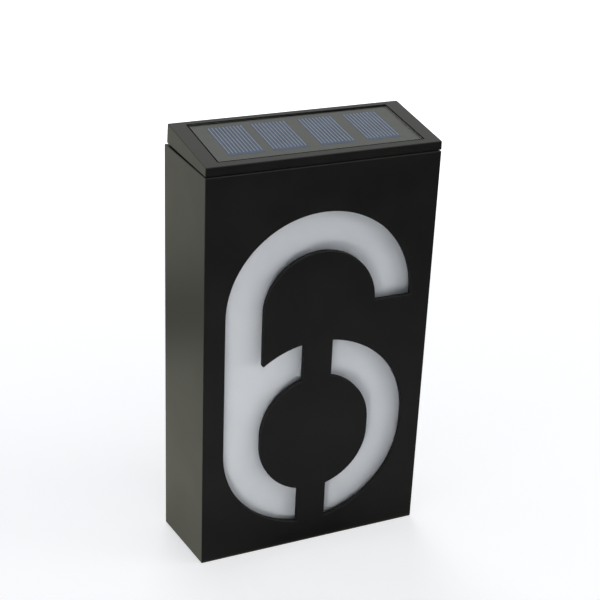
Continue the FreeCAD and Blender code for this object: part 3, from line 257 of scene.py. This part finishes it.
otherFinishes = {
    # moulded white ABS, the polished inside of a reflector
    "white_abs": {"tones": ("#e6e6e3", "#f0f0ee"), "rough": (0.25, 0.4), "cloudMm": 12.0,
                  "grainMm": 0.4, "grainDepthMm": 0.003},
    # white solder mask over aluminium: even, slightly glossy
    "white_board": {"tones": ("#e4e6e4", "#eff1ef"), "rough": (0.3, 0.45), "cloudMm": 4.0,
                    "grainMm": 0.3, "grainDepthMm": 0.004},
    # green solder mask: darker where copper lies under it
    "green_board": {"tones": ("#14502a", "#1b6436"), "rough": (0.25, 0.4), "cloudMm": 1.5,
                    "grainMm": 0.3, "grainDepthMm": 0.004},
    # clear epoxy over pale phosphor
    "led_lens": {"tones": ("#e8e2b0", "#f3efcf"), "rough": (0.12, 0.2), "cloudMm": 2.0,
                 "grainMm": 0.5, "grainDepthMm": 0.001},
    # bright zinc plate on headed wire: grey, a little patchy
    "zinc_steel": {"tones": ("#a8a9a6", "#c2c2bd"), "rough": (0.28, 0.42), "cloudMm": 1.2,
                   "metallic": 1.0, "grainMm": 0.2, "grainDepthMm": 0.002},
    # cold-headed stainless steel, tumbled
    "stainless_steel": {"tones": ("#9fa0a0", "#bcbcbb"), "rough": (0.22, 0.36), "cloudMm": 1.2,
                        "metallic": 1.0, "grainMm": 0.2, "grainDepthMm": 0.002},
    # nickel on rolled strip and spring wire: warm grey, drawn lines along Z
    "nickel_strip": {"tones": ("#aba79f", "#c3beb4"), "rough": (0.2, 0.34), "cloudMm": 1.5,
                     "metallic": 1.0, "grainMm": 0.2, "grainDepthMm": 0.002, "stretch": (1, 1, 0.2)},
    # moulded rubber, dusted with talc: dull
    "seal_rubber": {"tones": ("#141414", "#1b1b1b"), "rough": (0.75, 0.9), "cloudMm": 3.0,
                    "grainMm": 0.3, "grainDepthMm": 0.01},
    # die-cut foam tape: open cells at its edges
    "adhesive_pad": {"tones": ("#bdbcb6", "#cbcac4"), "rough": (0.7, 0.85), "cloudMm": 2.0,
                     "grainMm": 0.3, "grainDepthMm": 0.03},
    # shrunk PVC sleeve: glossy, tight
    "cell_sleeve": {"tones": ("#2f6d5a", "#357763"), "rough": (0.22, 0.34), "cloudMm": 12.0,
                    "grainMm": 0.8, "grainDepthMm": 0.004},
    # moulded epoxy, finely grained
    "chip_epoxy": {"tones": ("#141416", "#1c1c1f"), "rough": (0.5, 0.65), "cloudMm": 1.0,
                   "grainMm": 0.15, "grainDepthMm": 0.006},
    # ferrite drum under enamelled wire
    "ferrite_winding": {"tones": ("#303032", "#3b3b3e"), "rough": (0.45, 0.6), "cloudMm": 1.5,
                        "grainMm": 0.35, "grainDepthMm": 0.03, "stretch": (0.1, 1, 0.1)},
    # drawn aluminium can
    "capacitor_can": {"tones": ("#a9acb0", "#bfc2c6"), "rough": (0.2, 0.3), "cloudMm": 1.5,
                      "metallic": 1.0, "grainMm": 0.2, "grainDepthMm": 0.001, "stretch": (1, 0.1, 1)},
    # black solder mask under the resin; its dark grey is partly painted reflection, the resin's sheen put
    # into its colour
    "panel_board": {"tones": ("#4a4b48", "#50514e"), "rough": (0.18, 0.24), "cloudMm": 12.0,
                    "grainMm": 0.4, "grainDepthMm": 0.001},
    # extruded PVC insulation: smooth, softly glossy
    "red_pvc": {"tones": ("#a8140f", "#b81d17"), "rough": (0.35, 0.45), "cloudMm": 3.0,
                "grainMm": 0.3, "grainDepthMm": 0.003},
    "black_pvc": {"tones": ("#101010", "#181818"), "rough": (0.35, 0.45), "cloudMm": 3.0,
                  "grainMm": 0.3, "grainDepthMm": 0.003},
}


def dress(piece, material):
    piece.data.materials.clear()
    piece.data.materials.append(material)


finishes = {slot: makeFinish(slot, look) for slot, look in otherFinishes.items()}
finishes["black_abs"] = mouldedAbs("mouldedAbs")
finishes["opal_acrylic"] = opalAcrylic()
finishes["solar_silicon"] = makeFinish("solarSilicon", silicon)
finishes["clear_resin"] = clearResin()
for part in frame["record"]["subparts"]:
    dress(nodes[part["node"]], finishes[part["material_slot"]])
dress(nodes["front_housing"], stencilAbs())
print("finishes on", len(nodes), "nodes")


modelling = {
    "turnSteps": 64,
    "mergeMm": 0.001,               # vertices this near to each other become one
    "nearMm": 0.01,                 # the slack when edges are picked by their place
    "smoothDegrees": 35, "bevelDegrees": 50,         # edges sharper than these stay sharp, or are bevelled
}


def objectFrom(name, mesh, material):
    data = bpy.data.meshes.new(name)
    mesh.to_mesh(data)
    mesh.free()
    made = bpy.data.objects.new(name, data)
    scene.collection.objects.link(made)
    dress(made, material)
    return made


def newPiece(name, mesh, material, replaced=()):
    # every piece made here rides on the housing
    piece = objectFrom(name, mesh, material)
    for face in piece.data.polygons:
        face.use_smooth = True
    piece.data.set_sharp_from_angle(angle=math.radians(modelling["smoothDegrees"]))
    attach(piece, "housing")
    if replaced:
        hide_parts(*replaced)


def addSlab(mesh, low, high):
    # a block between two corners
    made = bmesh.ops.create_cube(mesh, size=1.0)["verts"]
    bmesh.ops.scale(mesh, verts=made, vec=high - low)
    bmesh.ops.translate(mesh, verts=made, vec=(low + high) / 2)


def bevelEdges(mesh, edges, widthMm, segments):
    bmesh.ops.bevel(mesh, geom=edges, offset=widthMm * mm, affect="EDGES", segments=segments, profile=0.5,
                    material=-1, clamp_overlap=True)


def bevelSharp(mesh, widthMm, segments):
    limit = math.radians(modelling["bevelDegrees"])
    sharp = [e for e in mesh.edges if len(e.link_faces) == 2 and e.calc_face_angle() > limit]
    bevelEdges(mesh, sharp, widthMm, segments)


def turned(profile, origin, axis, side, closed=False):
    # spins a profile of (along, radius) points in mm once round the axis
    mesh = bmesh.new()
    verts = [mesh.verts.new(origin + (axis * along + side * radius) * mm) for along, radius in profile]
    pairs = list(zip(verts, verts[1:])) + ([(verts[-1], verts[0])] if closed else [])
    edges = [mesh.edges.new(pair) for pair in pairs]
    bmesh.ops.spin(mesh, geom=verts + edges, cent=origin, axis=axis, dvec=(0, 0, 0), angle=math.tau,
                   steps=modelling["turnSteps"], use_merge=True, use_duplicate=False)
    bmesh.ops.remove_doubles(mesh, verts=mesh.verts, dist=modelling["mergeMm"] * mm)
    bmesh.ops.recalc_face_normals(mesh, faces=mesh.faces)
    return mesh


def panelBox(name):
    # lowest and highest corner of a node in the panel's own frame
    corners = [panelTurn.inverted() @ v.co for v in nodes[name].data.vertices]
    low = Vector([min(c[i] for c in corners) for i in range(3)])
    high = Vector([max(c[i] for c in corners) for i in range(3)])
    return low, high


cells = [panelBox(name) for name in sorted(nodes) if name.startswith("solar_cell_")]

resinCover = {
    "cornerMm": 0.3, "rimMm": 0.06, "segments": 3,
    "bedMm": 0.03,                  # its underside off the board
    "crownMm": 0.28,                # poured this much fuller than its plain sheet
}


def makeResinCover():
    low, high = panelBox("solar_cover")
    low.z += resinCover["bedMm"] * mm
    high.z += resinCover["crownMm"] * mm
    mesh = bmesh.new()
    addSlab(mesh, low, high)
    upright = [e for e in mesh.edges if abs(e.verts[0].co.z - e.verts[1].co.z) > (high.z - low.z) / 2]
    bevelEdges(mesh, upright, resinCover["cornerMm"], resinCover["segments"])
    near = modelling["nearMm"] * mm
    rim = [e for e in mesh.edges if all(v.co.z > high.z - near for v in e.verts)]
    bevelEdges(mesh, rim, resinCover["rimMm"], resinCover["segments"])
    bmesh.ops.transform(mesh, matrix=panelTurn, verts=mesh.verts)
    newPiece("resin_cover", mesh, finishes["clear_resin"], ["solar_cover"])


backing = {"clearMm": 0.03, "insetMm": 0.05}


def makeBacking():
    # the film that the cells are bedded in: it lies on the board round them, level with their tops
    low, high = panelBox("solar_board")
    clear, inset = backing["clearMm"] * mm, Vector((backing["insetMm"], backing["insetMm"], 0)) * mm
    low, high = low + inset, high - inset
    firstLow, firstHigh = cells[0]
    top, thick = firstHigh.z - clear, firstHigh.z - high.z - clear * 2
    mesh = bmesh.new()
    bmesh.ops.create_grid(mesh, x_segments=1, y_segments=1, size=0.5)
    bmesh.ops.scale(mesh, verts=mesh.verts, vec=(high.x - low.x, high.y - low.y, 1))
    bmesh.ops.translate(mesh, verts=mesh.verts, vec=((low.x + high.x) / 2, (low.y + high.y) / 2, top))
    cuts = [((0, firstLow.y - clear, 0), (0, 1, 0)), ((0, firstHigh.y + clear, 0), (0, 1, 0))]
    for cellLow, cellHigh in cells:
        cuts += [((x, 0, 0), (1, 0, 0)) for x in (cellLow.x - clear, cellHigh.x + clear)]
    for place, across in cuts:
        bmesh.ops.bisect_plane(mesh, geom=mesh.verts[:] + mesh.edges[:] + mesh.faces[:], plane_co=place,
                               plane_no=across)
    middles = [(face, face.calc_center_median()) for face in mesh.faces]
    windows = [face for face, at in middles
               if any(a.x < at.x < b.x and a.y < at.y < b.y for a, b in cells)]
    bmesh.ops.delete(mesh, geom=windows, context="FACES")
    grown = bmesh.ops.extrude_face_region(mesh, geom=mesh.faces[:])["geom"]
    under = [v for v in grown if isinstance(v, bmesh.types.BMVert)]
    bmesh.ops.translate(mesh, verts=under, vec=(0, 0, -thick))
    bmesh.ops.recalc_face_normals(mesh, faces=mesh.faces)
    bmesh.ops.transform(mesh, matrix=panelTurn, verts=mesh.verts)
    # the film takes the board's tone, with its painted reflection
    newPiece("cell_backing", mesh, finishes["panel_board"])


cellFingers = {
    "pitchMm": 1.48, "count": 10, "widthMm": 0.36, "thickMm": 0.02,
    "frontGapMm": 1.6, "backGapMm": 0.3,          # plain blue band left at the cell's front end
    # screen-printed silver, fired on: matt, pale, slightly lilac under the resin
    "look": {"tones": ("#969aa3", "#a8acb6"), "rough": (0.5, 0.65), "cloudMm": 2.5, "metallic": 1.0,
             "grainMm": 0.15, "grainDepthMm": 0.002},
}


def makeFingers():
    half, thick = cellFingers["widthMm"] * mm / 2, cellFingers["thickMm"] * mm
    front, back = cellFingers["frontGapMm"] * mm, cellFingers["backGapMm"] * mm
    mesh = bmesh.new()
    for low, high in cells:
        middle = (low.x + high.x) / 2
        for i in range(cellFingers["count"]):
            x = middle + (i - (cellFingers["count"] - 1) / 2) * cellFingers["pitchMm"] * mm
            addSlab(mesh, Vector((x - half, low.y + front, high.z)),
                    Vector((x + half, high.y - back, high.z + thick)))
    bmesh.ops.transform(mesh, matrix=panelTurn, verts=mesh.verts)
    newPiece("cell_fingers", mesh, makeFinish("silverPaste", cellFingers["look"]))


makeResinCover()
makeBacking()
makeFingers()
print("panel made")


battery = {
    "shoulderMm": 43.6,                                 # its length without the nub
    "nubRadiusMm": 1.9,
    "canInsetMm": 0.2,                                  # the can's side under the sleeve's outer skin
    "baseMm": 0.02, "dishMm": 0.25, "dishRadiiMm": (2.6, 3.1),          # the negative end is dished
    "endMm": 0.15, "grooveMm": 0.35, "grooveRadiiMm": (2.8, 3.2),       # a groove runs round the nub
    "canBevelMm": 0.15, "sleeveBevelMm": 0.3, "segments": 3,
    "sleeveLipMm": 1.2, "sleeveThickMm": 0.12,
    # a plain pale band round the positive end, printed on the sleeve
    "band": {"tone": "#b9bcb4", "rough": 0.3}, "bandMm": 9.0, "bandRoomMm": 1.0,
}


def batteryFrame():
    # the middle of its negative end, then its radius and its length with the nub, in mm
    low, high = (Vector(corner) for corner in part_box("battery_cell"))
    origin = Vector((low.x, (low.y + high.y) / 2, (low.z + high.z) / 2))
    return origin, (high.z - low.z) / 2 / mm, (high.x - low.x) / mm


def makeCan():
    origin, radius, length = batteryFrame()
    nub, dish, base = battery["nubRadiusMm"], battery["dishMm"], battery["baseMm"]
    end, groove = battery["shoulderMm"] - battery["endMm"], battery["shoulderMm"] - battery["grooveMm"]
    dishInner, dishOuter = battery["dishRadiiMm"]
    grooveInner, grooveOuter = battery["grooveRadiiMm"]
    side = radius - battery["canInsetMm"]
    can = turned([(dish, 0), (dish, dishInner), (base, dishOuter), (base, side), (end, side),
                  (end, grooveOuter), (groove, grooveInner), (groove, nub), (length, nub), (length, 0)],
                 origin, xAxis, yAxis)
    bevelSharp(can, battery["canBevelMm"], battery["segments"])
    newPiece("battery_can", can, finishes["nickel_strip"])


def sleeveFinish(origin, radius, length):
    # the shrunk sleeve with its band: one film, printed, so that the gloss hardly changes
    material = makeFinish("shrunkSleeve", otherFinishes["cell_sleeve"])
    room = battery["bandRoomMm"]
    start, reach = battery["shoulderMm"] - battery["bandMm"], radius + room
    patchFinish(material, origin + Vector((start, -reach, -reach)) * mm,
                origin + Vector((length + room, reach, reach)) * mm, battery["band"])
    return material


def makeSleeve():
    origin, radius, length = batteryFrame()
    shoulder, lip, thick = battery["shoulderMm"], radius - battery["sleeveLipMm"], battery["sleeveThickMm"]
    sleeve = turned([(0, lip), (0, radius), (shoulder, radius), (shoulder, lip), (shoulder - thick, lip),
                     (shoulder - thick, radius - thick), (thick, radius - thick), (thick, lip)],
                    origin, xAxis, yAxis, closed=True)
    near = modelling["nearMm"] * mm
    outer = [e for e in sleeve.edges if abs(e.verts[0].co.x - e.verts[1].co.x) < near
             and all((v.co - origin).yz.length > radius * mm - near for v in e.verts)]
    bevelEdges(sleeve, outer, battery["sleeveBevelMm"], battery["segments"])
    newPiece("battery_sleeve", sleeve, sleeveFinish(origin, radius, length), ["battery_cell"])


marks = {
    # raised on the plate: O and I beside the switch, + and - beside the cell's ends under the door
    "sizeMm": 2.2, "barMm": 0.5, "sunkMm": 0.1, "bevelMm": 0.12, "segments": 2,
    "switchMm": (4.65, -1.0, 49.97), "switchProudMm": 0.3,
    "polarityMm": (30.5, -2.4, -44.6), "polarityProudMm": 0.25,
}


def makeRing(name, placeMm, proudMm):
    outer, sunk = marks["sizeMm"] / 2, marks["sunkMm"]
    inner = outer - marks["barMm"]
    ring = turned([(-sunk, outer), (proudMm, outer), (proudMm, inner), (-sunk, inner)],
                  Vector(placeMm) * mm, yAxis, xAxis, closed=True)
    bevelSharp(ring, marks["bevelMm"], marks["segments"])
    newPiece(name, ring, finishes["black_abs"])


def makeBars(name, placeMm, proudMm, bars):
    # one bar for each (half width, half height)
    x, y, z = placeMm
    mesh = bmesh.new()
    for wide, high in bars:
        addSlab(mesh, Vector((x - wide, y - marks["sunkMm"], z - high)) * mm,
                Vector((x + wide, y + proudMm, z + high)) * mm)
    bevelSharp(mesh, marks["bevelMm"], marks["segments"])
    newPiece(name, mesh, finishes["black_abs"])


def makeMarks():
    long, short = marks["sizeMm"] / 2, marks["barMm"] / 2
    level, upright = (long, short), (short, long)
    x, y, z = marks["switchMm"]
    makeRing("mark_off", (-x, y, z), marks["switchProudMm"])
    makeBars("mark_on", (x, y, z), marks["switchProudMm"], [upright])
    x, y, z = marks["polarityMm"]
    makeBars("mark_minus", (-x, y, z), marks["polarityProudMm"], [level])
    makeBars("mark_plus", (x, y, z), marks["polarityProudMm"], [level, upright])


makeCan()
makeSleeve()
makeMarks()
print("battery and marks made")


lens = {
    # solved from the sign's corners in the 600 x 600 picture and its three overall sizes
    "focalMm": 83.56, "sensorMm": 36.0, "clipM": (0.01, 100.0),
    "placeMm": (-218.4, -486.3, 264.2),
    "forward": (0.3833, 0.8164, -0.4320), "right": (0.9122, -0.4078, 0.0388),
}


def makeCamera():
    data = bpy.data.cameras.new("camera")
    data.lens = lens["focalMm"]
    data.sensor_width = lens["sensorMm"]
    data.clip_start, data.clip_end = lens["clipM"]
    camera = bpy.data.objects.new("camera", data)
    scene.collection.objects.link(camera)
    forward = Vector(lens["forward"]).normalized()
    right = Vector(lens["right"]).normalized()
    up = right.cross(forward).normalized()
    turn = Matrix((right, up, -forward)).transposed().to_4x4()
    camera.matrix_world = Matrix.Translation(Vector(lens["placeMm"]) * mm) @ turn
    scene.camera = camera


def floorFrame():
    # The sign stands on its sloping foot, so the floor is laid along it: origin under the back edge,
    # Z square to the floor. The floor, the card and the lamps are all placed in this frame.
    (back, lowBack), (face, lowFace) = footEdges()
    slope = math.atan2(lowFace - lowBack, back - face)
    return Matrix.Translation((0, back, lowBack)) @ Matrix.Rotation(-slope, 4, "X")


def stagePiece(name, mesh, place, material):
    bmesh.ops.transform(mesh, matrix=place, verts=mesh.verts)
    piece = objectFrom(name, mesh, material)
    return piece


def glowByDistance(tree, place, stops, tint=(1.0, 1.0, 1.0)):
    # an even glow that changes with the distance from the sign's foot; stops are (metres, strength)
    where = add(tree, "TexCoord")
    offset = add(tree, "VectorMath", {1: place.translation}, {0: where.outputs["Object"]},
                 operation="SUBTRACT")
    away = add(tree, "VectorMath", links={0: offset.outputs[0]}, operation="LENGTH")
    ramp = add(tree, "ValToRGB", links={"Fac": away.outputs["Value"]})
    elements = ramp.color_ramp.elements
    while len(elements) < len(stops):
        elements.new(0.5)               # its place is set below
    for element, (metres, strength) in zip(elements, stops):
        element.position = metres
        element.color = [strength * part for part in tint] + [1.0]
    return add(tree, "Emission", {"Strength": 1.0}, {"Color": ramp.outputs[0]})


floorPlan = {
    "halfM": 6.0, "tones": ("#dadad9", "#dededd"), "fibreMm": 3.0,
    # white added to the lit paper for the camera alone, so that it is just white and keeps its shadow
    "glow": ((0.05, 0.56), (0.35, 0.59), (0.65, 0.80), (1.0, 1.0)),
    # the floor as the sign's gloss shows it
    "mirrored": ((0.05, 0.53), (0.08, 0.75), (0.16, 0.72), (0.21, 0.84), (0.27, 0.06), (0.33, 0.30),
                 (0.42, 0.70)),
    "mirroredTint": (1.0, 1.0, 0.84),
}


def makeFloor(place):
    # smooth white paper: matt, with a faint cloud of fibres
    mesh = bmesh.new()
    bmesh.ops.create_grid(mesh, x_segments=1, y_segments=1, size=floorPlan["halfM"])
    material, tree = newMaterial("paperFloor")
    where = add(tree, "TexCoord")
    fibre = add(tree, "TexNoise", {"Scale": perMetre(floorPlan["fibreMm"])},
                {"Vector": where.outputs["Object"]})
    first, second = (linear(tone) for tone in floorPlan["tones"])
    tone = add(tree, "MixRGB", {"Color1": first, "Color2": second}, {"Fac": fibre.outputs[0]})
    paper = add(tree, "BsdfDiffuse", links={"Color": tone.outputs[0]})
    rays = add(tree, "LightPath")
    white = glowByDistance(tree, place, floorPlan["glow"])
    tree.links.new(rays.outputs["Is Camera Ray"], white.inputs["Strength"])
    seen = add(tree, "AddShader", links={0: paper.outputs[0], 1: white.outputs[0]})
    mirrored = glowByDistance(tree, place, floorPlan["mirrored"], floorPlan["mirroredTint"])
    both = add(tree, "MixShader",
               links={0: rays.outputs["Is Glossy Ray"], 1: seen.outputs[0], 2: mirrored.outputs[0]})
    add(tree, "OutputMaterial", links={"Surface": both.outputs[0]})
    return stagePiece("floor", mesh, place, material)


studio = {
    # what lights the sign all round, what its gloss shows, and what the camera sees, as linear colours
    "fill": (0.22, 0.24, 0.28, 1.0), "mirrored": (0.74, 0.76, 0.72, 1.0), "seen": (1.0, 1.0, 1.0, 1.0),
}


def makeWorld():
    world = bpy.data.worlds.new("studio")
    scene.world = world
    world.use_nodes = True
    tree = world.node_tree
    tree.nodes.clear()
    rays = add(tree, "LightPath")
    fill, mirrored, seen = (add(tree, "Background", {"Color": studio[name], "Strength": 1.0})
                            for name in ("fill", "mirrored", "seen"))
    inGloss = add(tree, "MixShader",
                  links={0: rays.outputs["Is Glossy Ray"], 1: fill.outputs[0], 2: mirrored.outputs[0]})
    both = add(tree, "MixShader",
               links={0: rays.outputs["Is Camera Ray"], 1: inGloss.outputs[0], 2: seen.outputs[0]})
    add(tree, "OutputWorld", links={"Surface": both.outputs[0]})


darkCard = {
    "halfM": (1.0, 0.9),
    "rightM": 0.8, "beforeM": 0.0415, "heightM": 0.0003,         # its middle, its near edge, off the floor
    "tones": ((0.042, 0.02), (0.052, 0.09), (0.085, 0.19), (0.14, 0.205), (0.26, 0.12), (0.42, 0.02)),
}


def makeDarkCard(place):
    # a dark card on the floor before the sign, seen only by the sign's own gloss
    mesh = bmesh.new()
    bmesh.ops.create_grid(mesh, x_segments=1, y_segments=1, size=1.0)
    wide, deep = darkCard["halfM"]
    bmesh.ops.scale(mesh, verts=mesh.verts, vec=(wide, deep, 1))
    middle = (darkCard["rightM"], -deep - darkCard["beforeM"], darkCard["heightM"])
    bmesh.ops.translate(mesh, verts=mesh.verts, vec=middle)
    material, tree = newMaterial("cardCloth")
    glow = glowByDistance(tree, place, darkCard["tones"])
    add(tree, "OutputMaterial", links={"Surface": glow.outputs[0]})
    card = stagePiece("dark_card", mesh, place, material)
    card.visible_camera = False
    card.visible_diffuse = False
    card.visible_shadow = False
    card.visible_transmission = False


lamps = {
    # name: place in the floor's frame in metres, what it points at, width in metres, watts, colour
    "keyRight": ((0.90, -0.70, 0.32), (0, -0.03, 0.09), 0.6, 3.4, (1.0, 0.99, 0.98)),
    "frontTop": ((0.0, -0.60, 0.90), (0, -0.03, 0.09), 0.6, 1.15, (1.0, 1.0, 1.0)),
    "softLeft": ((-0.90, -0.50, 0.70), (0, -0.03, 0.09), 0.6, 0.6, (1.0, 1.0, 1.0)),
    "nearLeft": ((-0.14, -0.20, 0.01), (-0.02, -0.03, 0.03), 0.06, 0.27, (1.0, 0.99, 0.98)),
    "spillLeft": ((-0.05, -0.17, 0.08), (-0.027, -0.04, 0.08), 0.04, 0.008, (1.0, 1.0, 1.0)),
    "floorGlow": ((0.15, -0.45, 0.004), (0.15, -0.45, 1.0), 0.8, 0.55, (1.0, 1.0, 1.0)),
    "softBack": ((0.30, 1.30, 0.90), (0, 0, 0.09), 1.0, 9.0, (1.0, 1.0, 1.0)),
}


def makeLamps(floorPlace, floor):
    made = {}
    for name, (spotM, aimM, size, watts, colour) in lamps.items():
        place, aim = floorPlace @ Vector(spotM), floorPlace @ Vector(aimM)
        data = bpy.data.lights.new(name, "AREA")
        data.shape = "DISK"
        data.size = size
        data.energy = watts
        data.color = colour
        lamp = bpy.data.objects.new(name, data)
        scene.collection.objects.link(lamp)
        lamp.location = place
        lamp.rotation_euler = (aim - place).to_track_quat("-Z", "Y").to_euler()
        lamp.visible_camera = False
        lamp.visible_glossy = False
        made[name] = lamp
    # this one stands just over the floor, and would draw a bright patch with a hard edge on it
    unlit = bpy.data.collections.new("unlitFloor")
    unlit.objects.link(floor)
    unlit.collection_objects[0].light_linking.link_state = "EXCLUDE"
    made["nearLeft"].light_linking.receiver_collection = unlit


floorPlace = floorFrame()
makeCamera()
paperFloor = makeFloor(floorPlace)
makeWorld()
makeDarkCard(floorPlace)
makeLamps(floorPlace, paperFloor)
scene.view_settings.view_transform = "Standard"
print("camera, floor and light made")
